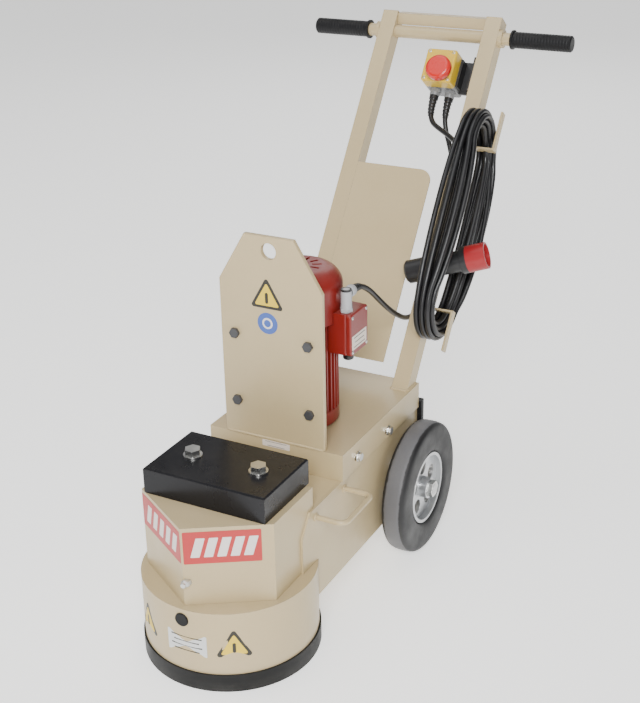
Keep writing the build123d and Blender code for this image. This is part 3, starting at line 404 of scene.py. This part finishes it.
finishes = {
    "creamPaint": makeFinish("creamPaint", (0.52, 0.41, 0.225, 1), 0.38, coat=0.15, drift=0.045, wear=0.42,
                             wearMetal=0.3,
                             wearColour=(0.20, 0.17, 0.13, 1), dust=0.22, splash=0.10, bump=0.10),
    "redPaint": makeFinish("redPaint", (0.21, 0.012, 0.008, 1), 0.40, coat=0.12, drift=0.08, peel=240.0,
                           bump=0.16,
                           wear=0.35, wearColour=(0.10, 0.03, 0.03, 1), dust=0.16),
    "glossBlack": makeFinish("glossBlack", (0.010, 0.010, 0.012, 1), 0.30, coat=0.08, specular=0.22,
                             drift=0.15, peel=190.0, bump=0.14,
                             bumpHeight=0.0006, edge=0.002, wear=0.40, wearColour=(0.12, 0.11, 0.10, 1),
                             dust=0.05),
    "blackPaint": makeFinish("blackPaint", (0.016, 0.016, 0.017, 1), 0.40, drift=0.12, wear=0.45,
                             wearColour=(0.20, 0.19, 0.18, 1), wearMetal=0.8, dust=0.12),
    "skirtRubber": makeFinish("skirtRubber", (0.008, 0.008, 0.008, 1), 0.52, specular=0.25, drift=0.2,
                              peel=520.0, bump=0.2, dust=0.10,
                              splash=0.02),
    "gripRubber": makeFinish("gripRubber", (0.007, 0.007, 0.008, 1), 0.48, specular=0.25, drift=0.15,
                             peel=700.0, bump=0.2, dust=0.08),
    "cableRubber": makeFinish("cableRubber", (0.011, 0.011, 0.012, 1), 0.36, drift=0.18, peel=900.0,
                              bump=0.1, dust=0.05),
    "zincSteel": makeFinish("zincSteel", (0.62, 0.62, 0.60, 1), 0.30, metal=1.0, drift=0.10,
                            driftScale=60.0, peel=900.0,
                            bump=0.06, dust=0.12, edge=0.0006),
    "machinedSteel": makeFinish("machinedSteel", (0.52, 0.52, 0.52, 1), 0.26, metal=1.0, drift=0.08,
                                driftScale=90.0, dust=0.15),
    "castIron": makeFinish("castIron", (0.10, 0.10, 0.105, 1), 0.55, metal=0.7, drift=0.15, peel=260.0,
                           bump=0.3,
                           bumpHeight=0.0008, dust=0.3),
    "pulleyIron": makeFinish("pulleyIron", (0.26, 0.26, 0.27, 1), 0.42, metal=0.9, drift=0.12, peel=300.0,
                             bump=0.2, dust=0.15),
    "rimAlloy": makeFinish("rimAlloy", (0.55, 0.56, 0.57, 1), 0.34, metal=0.9, drift=0.10, driftScale=30.0,
                           peel=260.0,
                           bump=0.18, bumpHeight=0.0006, dust=0.12, splash=0.001),
    "blackPlastic": makeFinish("blackPlastic", (0.014, 0.014, 0.015, 1), 0.38, drift=0.12, peel=1200.0,
                               bump=0.12, dust=0.08),
    "greyPlastic": makeFinish("greyPlastic", (0.20, 0.205, 0.21, 1), 0.42, drift=0.06, peel=1200.0,
                              bump=0.1, dust=0.10),
    "paleGland": makeFinish("paleGland", (0.42, 0.43, 0.44, 1), 0.36, drift=0.05, peel=1200.0, bump=0.08,
                            dust=0.05),
    "yellowPlastic": makeFinish("yellowPlastic", (0.72, 0.47, 0.025, 1), 0.36, coat=0.15, drift=0.05,
                                peel=1200.0, bump=0.1, dust=0.08),
    "redPlastic": makeFinish("redPlastic", (0.62, 0.016, 0.010, 1), 0.30, coat=0.3, drift=0.06, peel=1200.0,
                             bump=0.08, dust=0.04),
    "plugRed": makeFinish("plugRed", None, 0.38, pattern=plugPattern, drift=0.08, peel=1200.0, bump=0.1,
                          dust=0.08),
    "abrasive": makeFinish("abrasive", (0.16, 0.145, 0.12, 1), 0.8, drift=0.35, driftScale=260.0,
                           peel=700.0, bump=0.8,
                           bumpHeight=0.001, dust=0.5, splash=0.02),
    "copperCore": makeFinish("copperCore", (0.20, 0.19, 0.18, 1), 0.45, metal=0.8, drift=0.2,
                             driftScale=200.0),
    "redVinyl": makeFinish("redVinyl", (0.50, 0.030, 0.030, 1), 0.42, drift=0.07, peel=900.0, bump=0.03,
                           edge=0.0002, dust=0.12),
    "whiteVinyl": makeFinish("whiteVinyl", (0.80, 0.74, 0.70, 1), 0.42, drift=0.05, peel=900.0, bump=0.03,
                             edge=0.0002, dust=0.12),
    "yellowVinyl": makeFinish("yellowVinyl", (0.78, 0.55, 0.030, 1), 0.40, drift=0.06, peel=900.0,
                              bump=0.03, edge=0.0002, dust=0.10),
    "blackVinyl": makeFinish("blackVinyl", (0.020, 0.018, 0.012, 1), 0.40, drift=0.12, peel=900.0,
                             bump=0.03, edge=0.0002, dust=0.08),
    "blueVinyl": makeFinish("blueVinyl", (0.055, 0.12, 0.42, 1), 0.40, drift=0.07, peel=900.0, bump=0.03,
                            edge=0.0002, dust=0.10),
    "labelSilver": makeFinish("labelSilver", (0.66, 0.67, 0.66, 1), 0.38, metal=0.35, drift=0.05,
                              driftScale=40.0, edge=0.0002),
    "labelWhite": makeFinish("labelWhite", (0.74, 0.66, 0.58, 1), 0.45, drift=0.05, peel=900.0, bump=0.03,
                             edge=0.0002),
}
for wheelNode, finishName in (("left_tyre", "leftTyreRubber"), ("right_tyre", "rightTyreRubber")):
    look = wheelPattern(wheelNode, (0.105, 0.105, 0.112, 1), (0.010, 0.010, 0.011, 1), 0.0075)
    finishes[finishName] = makeFinish(finishName, None, 0.50, drift=0.12, driftScale=16.0, peel=320.0,
                                      bump=0.22, smear=0.12,
                                      dust=0.10, splash=0.001, pattern=look)

nodeFinishes = {
    "creamPaint": ["drum_shroud", "head_box", "chassis_channel", "belt_cover", "motor_deck", "lift_bails",
                   "motor_plate",
                   "left_leg", "right_leg", "crossbar", "handlebar", "handle_panel", "cord_hooks"],
    "redPaint": ["motor_body", "motor_end_bell", "fan_cowl", "terminal_box", "terminal_lid"],
    "glossBlack": ["front_weight"], "blackPaint": ["switch_bracket"],
    "skirtRubber": ["rubber_skirt", "v_belt"],
    "gripRubber": ["left_grip", "right_grip", "rear_buffers", "port_plug"],
    "zincSteel": ["weight_bolts", "deck_bolts", "axle_nuts", "disc_bolts", "stop_spring"],
    "machinedSteel": ["spindle_bearings", "motor_bearings", "spindle_shaft", "motor_shaft", "axle"],
    "castIron": ["spindle_housing", "grinding_disc", "foot_bolts"],
    "pulleyIron": ["driven_pulley", "drive_pulley"],
    "rimAlloy": ["left_rim", "right_rim"], "abrasive": ["abrasive_segments"],
    "copperCore": ["stator_core", "rotor_core"],
    "greyPlastic": ["switch_base"], "blackPlastic": ["cable_glands", "stop_stem", "plug_cap", "cooling_fan"],
    "yellowPlastic": ["switch_lid"], "redPlastic": ["stop_head"], "plugRed": ["plug_body"],
    "leftTyreRubber": ["left_tyre"], "rightTyreRubber": ["right_tyre"],
}
for finishName, nodeNames in nodeFinishes.items():
    for nodeName in nodeNames:
        nodes[nodeName].data.materials.clear()
        nodes[nodeName].data.materials.append(finishes[finishName])
for cord in (motorLead, supplyCord):
    cord.data.materials.append(finishes["cableRubber"])
unpainted = set(nodes) - {name for names in nodeFinishes.values() for name in names}
print("materials made,", len(finishes), "finishes; nodes without one:", sorted(unpainted))


# pieces: a surface is a grid of points, closed round its columns
def gridPiece(name, points, finish, body="frame", crease=35.0):
    rows, columns = points.shape[:2]
    index = np.arange(rows * columns).reshape(rows, columns)
    beside = np.roll(index, -1, 1)
    faces = np.stack([index[:-1], beside[:-1], beside[1:], index[1:]], -1).reshape(-1, 4)
    mesh = bpy.data.meshes.new(name)
    mesh.from_pydata(points.reshape(-1, 3).tolist(), [], faces.tolist())
    skin = bmesh.new()
    skin.from_mesh(mesh)
    bmesh.ops.remove_doubles(skin, verts=skin.verts, dist=1e-6)
    bmesh.ops.recalc_face_normals(skin, faces=skin.faces)
    skin.to_mesh(mesh)
    skin.free()
    mesh.polygons.foreach_set("use_smooth", np.ones(len(mesh.polygons), bool))
    mesh.set_sharp_from_angle(angle=math.radians(crease))
    mesh.materials.append(finishes[finish])
    piece = bpy.data.objects.new(name, mesh)
    bpy.context.scene.collection.objects.link(piece)
    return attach(piece, body)


def roundedOutline(corners, radius, steps=6):
    # each corner of a convex outline, anticlockwise, is an arc: its centre plus the radius, turning with
    # the side
    corners = np.array(corners, float)
    into = corners - np.roll(corners, 1, 0)
    into /= np.linalg.norm(into, axis=1, keepdims=True)
    out = np.roll(into, -1, 0)
    turn = np.arctan2(into[:, 0] * out[:, 1] - into[:, 1] * out[:, 0], (into * out).sum(1))
    inward = np.column_stack([-into[:, 1], into[:, 0]])
    centre = corners - into * (radius * np.tan(turn / 2))[:, None] + inward * radius
    angle = np.arctan2(-inward[:, 1], -inward[:, 0])[:, None] + turn[:, None] * np.linspace(0, 1, steps)
    ring = np.stack([np.cos(angle), np.sin(angle)], -1)
    return (centre[:, None] + radius * ring).reshape(-1, 2)


def rectangle(width, height):
    return [(-width / 2, -height / 2), (width / 2, -height / 2), (width / 2, height / 2),
            (-width / 2, height / 2)]


def platePiece(name, outline, place, height, finish, edge=0.0002, sunk=0.0003):
    # rings of the outline: drawn in at the top, full at the edge and again below the surface, closed to
    # the middle
    centre = outline.mean(0)
    size = np.linalg.norm(outline - centre, axis=1).min()
    scales = np.array([0, 0.5, 1 - edge / size, 1, 1, 0])
    heights = np.array([height, height, height, height - edge, -sunk, -sunk])
    flat = centre + scales[:, None, None] * (outline - centre)
    return gridPiece(name, place(flat[..., 0], flat[..., 1], heights[:, None]), finish)


def onPlane(origin, sideways, up):
    # the origin plus u sideways, v up and h along the normal
    sideways, up = np.array(sideways, float), np.array(up, float)
    normal = np.cross(sideways, up)
    return lambda u, v, h: origin + u[..., None] * sideways + v[..., None] * up + (h + 0 * u)[...,
            None] * normal


def onDrum(azimuth, height):
    # u runs round the drum as an angle u / radius, v is height and h stands off the drum
    def place(u, v, h):
        angle = math.radians(azimuth) + u / drumRadius
        reach = drumRadius + h
        return np.stack([reach * np.sin(angle), spindleY - reach * np.cos(angle), height + v + 0 * h], -1)
    return place


def sweep(centres, tangents, radii, sides):
    # every station is its centre plus its radius times a unit vector turning across the path
    tangents = tangents / np.linalg.norm(tangents, axis=1, keepdims=True)
    aside = np.cross(tangents, [0.31, 0.22, 0.92])
    aside /= np.linalg.norm(aside, axis=1, keepdims=True)
    angle = np.arange(sides) * 2 * math.pi / sides
    turning = np.cos(angle)[:, None] * aside[:, None] + np.sin(angle)[:, None] * np.cross(tangents,
            aside)[:, None]
    return centres[:, None] + radii[:, None, None] * turning


def turnedPiece(name, origin, axis, profile, finish, sides=40):
    # the profile is (distance along the axis, radius) from pole to pole
    profile = np.array(profile, float)
    axis = np.array(axis, float) / np.linalg.norm(axis)
    centres = np.array(origin) + profile[:, :1] * axis
    points = sweep(centres, np.tile(axis, (len(profile), 1)), profile[:, 1], sides)
    return gridPiece(name, points, finish)


def followingPiece(name, line, distances, radii, finish, sides=28):
    # the same, carried along a cord's own line
    run = np.concatenate([[0], np.cumsum(np.linalg.norm(np.diff(line, axis=0), axis=1))])
    centres = np.column_stack([np.interp(distances, run, line[:, k]) for k in range(3)])
    beyond = np.column_stack([np.interp(np.array(distances) + 0.002, run, line[:, k]) for k in range(3)])
    return gridPiece(name, sweep(centres, beyond - centres, np.array(radii), sides), finish)


# cable glands and their strain reliefs
relief = {"length": 0.034, "thick": 0.0080, "thin": 0.0058, "ribs": 5, "ribDepth": 0.0006}
gland = {
    "nutRadius": 0.0115, "nutHeight": 0.007, "sleeveRadius": 0.0098,
    "motorFoot": behindSpindle(0.092, 0.258, 0.521), "motorEnd": behindSpindle(0.092, 0.2665, 0.553),
    "motorBody": behindSpindle(0.092, 0.258, 0.530), "blanking": behindSpindle(0.090, 0.268, 0.4475),
    "lead": legPoint(0.050, 0.588, -0.008), "supply": legPoint(0.022, 0.588, 0.0),
    "bodyProfile": [(0, 0), (0, 0.0095), (0.026, 0.0095), (0.0295, 0.0088), (0.032, 0.006), (0.033, 0)],
    "blankingProfile": [(0, 0), (0, 0.0115), (0.008, 0.0115), (0.010, 0.0095), (0.016, 0.0095),
                        (0.018, 0.007),
                        (0.018, 0)],
}


def strainRelief(name, line, finish):
    # the radius falls from thick to thin, with shallow ribs
    share = np.linspace(0, 1, 26)
    radii = relief["thick"] + (relief["thin"] - relief["thick"]) * share
    radii = radii + relief["ribDepth"] * np.cos(share * 2 * math.pi * relief["ribs"])
    radii[0] = radii[-1] = 0.0
    distances = np.clip(share * 1.08 - 0.04, 0, 1) * relief["length"]
    return followingPiece(name, line, distances, radii, finish)


def glandNut(name, origin, axis, finish):
    r, h = gland["nutRadius"], gland["nutHeight"]
    profile = [(0, 0), (0, r * 0.94), (0.0006, r), (h - 0.0008, r), (h, r * 0.93), (h, 0)]
    turnedPiece(name, origin, axis, profile, finish, sides=6)
    r = gland["sleeveRadius"]
    profile = [(h - 0.001, 0), (h - 0.001, r), (h + 0.006, r), (h + 0.0085, r * 0.86), (h + 0.0085, 0)]
    turnedPiece(name + "Dome", origin, axis, profile, finish)


motorRelief = strainRelief("motorRelief", motorLine, "blackPlastic")
leadRelief = strainRelief("leadRelief", motorLine[::-1], "blackPlastic")
supplyRelief = strainRelief("supplyRelief", supplyLine, "blackPlastic")
plugRelief = strainRelief("plugRelief", supplyLine[::-1], "blackPlastic")
glandNut("motorGlandFoot", gland["motorFoot"], upward, "paleGland")
glandNut("motorGlandEnd", gland["motorEnd"], rearward, "paleGland")
turnedPiece("motorGlandBody", gland["motorBody"], upward, gland["bodyProfile"], "paleGland")
glandNut("leadGland", gland["lead"], -legUp, "greyPlastic")
glandNut("supplyGland", gland["supply"], -legUp, "greyPlastic")
turnedPiece("blankingPlug", gland["blanking"], -upward, gland["blankingProfile"], "blackPlastic",
            sides=12)
print("glands and strain reliefs made")

# ribbed grips
grip = {"length": 0.120, "end": 0.271, "radius": 0.0158, "flange": 0.0185, "ribs": 20, "depth": 0.0007}


def gripPiece(side, name, node):
    # a flange at the inner end, ribs that rise and fall like a rounded wave, and a domed end
    share = np.linspace(0.06, 0.96, 161)
    wave = np.sqrt(np.abs(np.sin(share * math.pi * grip["ribs"])))
    barrel = grip["radius"] + grip["depth"] * (wave - 1)
    start = [(0, 0), (0, grip["flange"]), (0.004, grip["flange"]), (0.0055, grip["radius"])]
    end = [(grip["length"] - 0.002, grip["radius"] * 0.98), (grip["length"], grip["radius"] * 0.86),
           (grip["length"], 0)]
    profile = np.concatenate([start, np.column_stack([share * grip["length"], barrel]), end])
    origin = legPoint(side * (grip["end"] - grip["length"]), 0.702, 0.0)
    piece = turnedPiece(name, origin, side * across, profile, "gripRubber", sides=48)
    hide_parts(node)


gripPiece(-1, "leftGrip", "left_grip")
gripPiece(1, "rightGrip", "right_grip")
print("grips made")

# solid tyres
tyre = {"halfWidth": 0.023, "bore": 0.068, "radius": 0.125, "squareness": 0.42, "crown": 0.0012,
        "moulding": 0.0005,
        "middle": 0.164, "rings": 61, "spokes": 112}


def tyrePiece(side, name, node, body):
    # a squared ring: width and depth go as the signed powers of cosine and sine, and the tread is slightly
    # crowned
    turn = np.linspace(0, 2 * math.pi, tyre["rings"])
    bulge = np.sign(np.cos(turn)) * np.abs(np.cos(turn)) ** tyre["squareness"]
    reach = np.sign(np.sin(turn)) * np.abs(np.sin(turn)) ** tyre["squareness"]
    depth = (tyre["radius"] - tyre["bore"]) / 2
    radii = tyre["bore"] + depth + depth * reach - tyre["crown"] * bulge ** 2 * (reach > 0)
    radii = radii - tyre["moulding"] * np.exp(-((np.abs(bulge) - 0.62) / 0.03) ** 2) * (reach > 0)
    x = side * tyre["middle"] + tyre["halfWidth"] * bulge
    angle = np.arange(tyre["spokes"]) * 2 * math.pi / tyre["spokes"]
    axle = behindSpindle(0, 0.409, 0.125)
    deep, high = radii[:, None] * np.cos(angle), radii[:, None] * np.sin(angle)
    points = np.stack([x[:, None] + 0 * angle, axle[1] + deep, axle[2] + high], -1)
    piece = gridPiece(name, points, name + "Rubber", body, crease=50.0)
    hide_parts(node)


tyrePiece(-1, "leftTyre", "left_tyre", "left_wheel")
tyrePiece(1, "rightTyre", "right_tyre", "right_wheel")
print("tyres made")

# labels: plain plates, borders and bars without any lettering
warning = {"inset": 0.0048, "corner": 0.004, "height": 0.0004}


def triangleSign(name, place, side):
    # a black triangle with a smaller yellow one on it and a black drop in the middle
    high = side * math.sqrt(3) / 2
    corners = [(-side / 2, -high / 3), (side / 2, -high / 3), (0, high * 2 / 3)]
    inner = 1 - 2 * warning["inset"] / (high * 2 / 3)
    black = roundedOutline(corners, warning["corner"])
    yellow = roundedOutline(np.array(corners) * inner, warning["corner"] * 0.6)
    dot = roundedOutline(rectangle(side * 0.09, side * 0.30), side * 0.043)
    platePiece(name + "Edge", black, place, warning["height"], "blackVinyl")
    platePiece(name + "Face", yellow, place, warning["height"] + 0.0002, "yellowVinyl")
    platePiece(name + "Mark", dot, place, warning["height"] + 0.0004, "blackVinyl")


def ratingPlate(name, place, width, height, finish, rows=4):
    # a thin plate with plain bars in place of its text
    outline = roundedOutline(rectangle(width, height), 0.0015)
    platePiece(name, outline, place, 0.0005, finish)
    for row in range(rows):
        rise = height * (0.32 - 0.64 * row / max(rows - 1, 1))
        bar = np.array(rectangle(width * (0.78 - 0.14 * (row % 2)), height * 0.05)) + (0, rise)
        platePiece(name + "Bar" + str(row), roundedOutline(bar, 0.0003), place, 0.0007, "blackVinyl")


signs = {"plateX": -0.006, "plateFront": 0.162, "signHeight": 0.563, "noticeHeight": 0.518,
         "noticeSize": 0.038,
         "plateSide": 0.064, "drumSide": 0.062, "drumHeight": 0.084}
signPlace = onPlane(behindSpindle(signs["plateX"], signs["plateFront"], signs["signHeight"]), across, upward)
noticePlace = onPlane(behindSpindle(signs["plateX"], signs["plateFront"], signs["noticeHeight"]), across,
                      upward)
triangleSign("plateSign", signPlace, signs["plateSide"])
disc = roundedOutline(rectangle(signs["noticeSize"], signs["noticeSize"]), 0.0189, 12)
notice = (("noticeDisc", 1.0, 0.0004, "blueVinyl"), ("noticeRing", 0.52, 0.0006, "whiteVinyl"),
          ("noticeHeart", 0.34, 0.0008, "blueVinyl"))
for name, size, height, finishName in notice:
    platePiece(name, disc * size, noticePlace, height, finishName)
triangleSign("rightDrumSign", onDrum(33, signs["drumHeight"]), signs["drumSide"])
triangleSign("leftDrumSign", onDrum(-35, signs["drumHeight"]), signs["drumSide"])
ratingPlate("drumPlate", onDrum(2, 0.083), 0.072, 0.040, "labelSilver")
deckPlace = onPlane(behindSpindle(0.002, signs["plateFront"], 0.292), across, upward)
ratingPlate("deckLabel", deckPlace, 0.054, 0.012, "labelWhite", 2)
lidPlace = onPlane(behindSpindle(0.109, 0.272, 0.469), rearward, upward)
ratingPlate("motorLabel", lidPlace, 0.054, 0.026, "labelWhite", 3)

# the coloured band round the head's nose, with slanting bars
band = {"low": 0.224, "high": 0.282, "rightEnd": 0.126, "leftEnd": 0.146, "slant": 0.010, "bar": 0.009}
nose = behindSpindle(0, -0.137, 0)


def noseBand(side, name, reach):
    # u runs away from the tip on this side's slanting face
    sideways = np.array([0.8495, side * 0.5275, 0.0])
    place = onPlane(nose, sideways, upward)
    low, high = band["low"], band["high"]
    ends = (0.003, reach) if side > 0 else (-reach, -0.003)
    sheet = roundedOutline([(ends[0], low), (ends[1], low), (ends[1], high), (ends[0], high)], 0.002)
    platePiece(name, sheet, place, 0.0004, "redVinyl")
    middleHeight, half = (low + high) / 2, (high - low) * 0.30
    for step in range(5):
        u = ends[0] + (ends[1] - ends[0]) * (0.16 + 0.17 * step)
        left, right = u - band["bar"], u + band["bar"] * 0.6
        bar = [(left, middleHeight - half), (right, middleHeight - half),
               (right + band["slant"], middleHeight + half), (left + band["slant"], middleHeight + half)]
        platePiece(name + "Bar" + str(step), roundedOutline(bar, 0.001), place, 0.0006, "whiteVinyl")


noseBand(1, "rightBand", band["rightEnd"])
noseBand(-1, "leftBand", band["leftEnd"])
print("labels made")

# screws and small fittings
screw = {
    "radius": 0.0034, "height": 0.0016,
    "switch": ((0.0075, 0.594), (0.0565, 0.594), (0.0075, 0.649), (0.0565, 0.649)),
    "terminal": ((0.247, 0.4525), (0.299, 0.4525), (0.247, 0.5155), (0.299, 0.5155)),
}
collarProfile = [(-0.0003, 0.0087), (-0.0003, 0.0215), (0.0005, 0.0215), (0.0008, 0.0210), (0.0008, 0.0087),
                 (-0.0003, 0.0087)]
fittingProfile = [(0, 0), (0, 0.0075), (0.010, 0.0075), (0.011, 0.0068), (0.014, 0.005), (0.016, 0.005),
                  (0.017, 0.004), (0.017, 0)]


def screwHead(name, origin, axis, size=1.0):
    r, h = screw["radius"] * size, screw["height"] * size
    profile = [(-0.0005, 0), (-0.0005, r), (h * 0.4, r), (h * 0.8, r * 0.86), (h, r * 0.6), (h, r * 0.44),
               (h * 0.3, r * 0.42), (h * 0.3, 0)]
    turnedPiece(name, origin, axis, profile, "zincSteel", sides=24)


for number, (x, along) in enumerate(screw["switch"]):
    screwHead("switchScrew" + str(number), legPoint(x, along, 0.0392), legFront)
for number, (back, height) in enumerate(screw["terminal"]):
    screwHead("terminalScrew" + str(number), behindSpindle(0.109, back, height), across, 0.9)
stopPlace = legPoint(0.038, 0.611, 0.040)
turnedPiece("stopCollar", stopPlace, legFront, collarProfile, "greyPlastic", sides=56)
fittingPlace = behindSpindle(0.005, -0.130, 0.191)
turnedPiece("noseFitting", fittingPlace, -rearward, fittingProfile, "zincSteel", sides=6)

# weld beads: overlapping ripples laid in the corners
weld = {"radius": 0.0032, "pitch": 0.0030, "ripple": 0.13}


def weldBead(name, start, end):
    # a thin rod along the seam whose radius ripples like laid drops
    start, end = np.array(start), np.array(end)
    length = np.linalg.norm(end - start)
    count = int(length / weld["pitch"] * 5)
    share = np.linspace(0, 1, count + 1)
    wobble = np.random.default_rng(int(length * 1e5) % 997).uniform(-0.05, 0.05, count + 1)
    radii = weld["radius"] * (1 - weld["ripple"] * np.abs(np.sin(share * math.pi * length / weld["pitch"]))
                              + wobble)
    radii[0] = radii[-1] = 0.0
    centres = start + share[:, None] * (end - start)
    gridPiece(name, sweep(centres, np.tile(end - start, (count + 1, 1)), radii, 12), "creamPaint")


def bailWeld(name, side, back):
    # a ring round the rod's foot: the middle plus a circle, with a rippled radius
    middlePoint = behindSpindle(side * 0.1285, back, 0.232)
    turn = np.linspace(0, 2 * math.pi, 60)
    circle = np.stack([0 * turn, np.cos(turn), np.sin(turn)], -1)
    tangents = np.stack([0 * turn, -np.sin(turn), np.cos(turn)], -1)
    radii = 0.0026 * (1 - 0.12 * np.abs(np.sin(turn * 6)))
    points = sweep(middlePoint + 0.0052 * circle, tangents, radii, 10)
    gridPiece(name, points, "creamPaint")


def seam(side, dx, deep):
    # a point on the deck beside the leg's foot
    return behindSpindle(side * handle["legX"] + dx, handle["footBack"] + deep, 0.3012)


legHalf = handle["legSize"] / 2
legDeep = legHalf / math.cos(handle["lean"])
for side, label in ((-1, "left"), (1, "right")):
    inside, outside = -side * legHalf, side * legHalf
    weldBead(label + "FrontWeld", seam(side, -legHalf, -legDeep), seam(side, legHalf, -legDeep))
    weldBead(label + "InnerWeld", seam(side, inside, -legDeep), seam(side, inside, legDeep))
    weldBead(label + "OuterWeld", seam(side, outside, -legDeep), seam(side, outside, legDeep))
    for back in (0.069, 0.173):
        bailWeld(label + "BailWeld" + str(int(back * 1000)), side, back)
weldBead("plateWeld", behindSpindle(-0.094, 0.1632, 0.3015), behindSpindle(0.094, 0.1632, 0.3015))

# cable ties round the lead
for number, share in enumerate((0.42, 0.60)):
    spot = int(len(motorLine) * share)
    course = motorLine[spot + 1] - motorLine[spot]
    turnedPiece("cableTie" + str(number), motorLine[spot], course, [
        (-0.002, 0.0048), (-0.0022, 0.0060), (0.0022, 0.0060), (0.002, 0.0048), (-0.002, 0.0048)],
        "blackPlastic", sides=32)
print("welds, screws and ties made")


# floor
def layFloor():
    half = studio["floorSize"] / 2
    corners = [(-half, -half, 0), (half, -half, 0), (half, half, 0), (-half, half, 0)]
    mesh = bpy.data.meshes.new("studioFloor")
    mesh.from_pydata(corners, [], [(0, 1, 2, 3)])
    floor = bpy.data.objects.new("studioFloor", mesh)
    bpy.context.scene.collection.objects.link(floor)
    material = bpy.data.materials.new("paleFloor")
    material.use_nodes = True
    tree = material.node_tree
    shade = placeGroup(tree, colourDrift, {"Colour": studio["floorColour"], "Amount": 0.01, "Scale": 0.8})
    tree.links.new(shade.outputs["Colour"], tree.nodes["Principled BSDF"].inputs["Base Color"])
    tree.nodes["Principled BSDF"].inputs["Roughness"].default_value = 0.9
    tree.nodes["Principled BSDF"].inputs["Emission Color"].default_value = studio["floorColour"]
    tree.nodes["Principled BSDF"].inputs["Emission Strength"].default_value = studio["floorGlow"]
    mesh.materials.append(material)


layFloor()
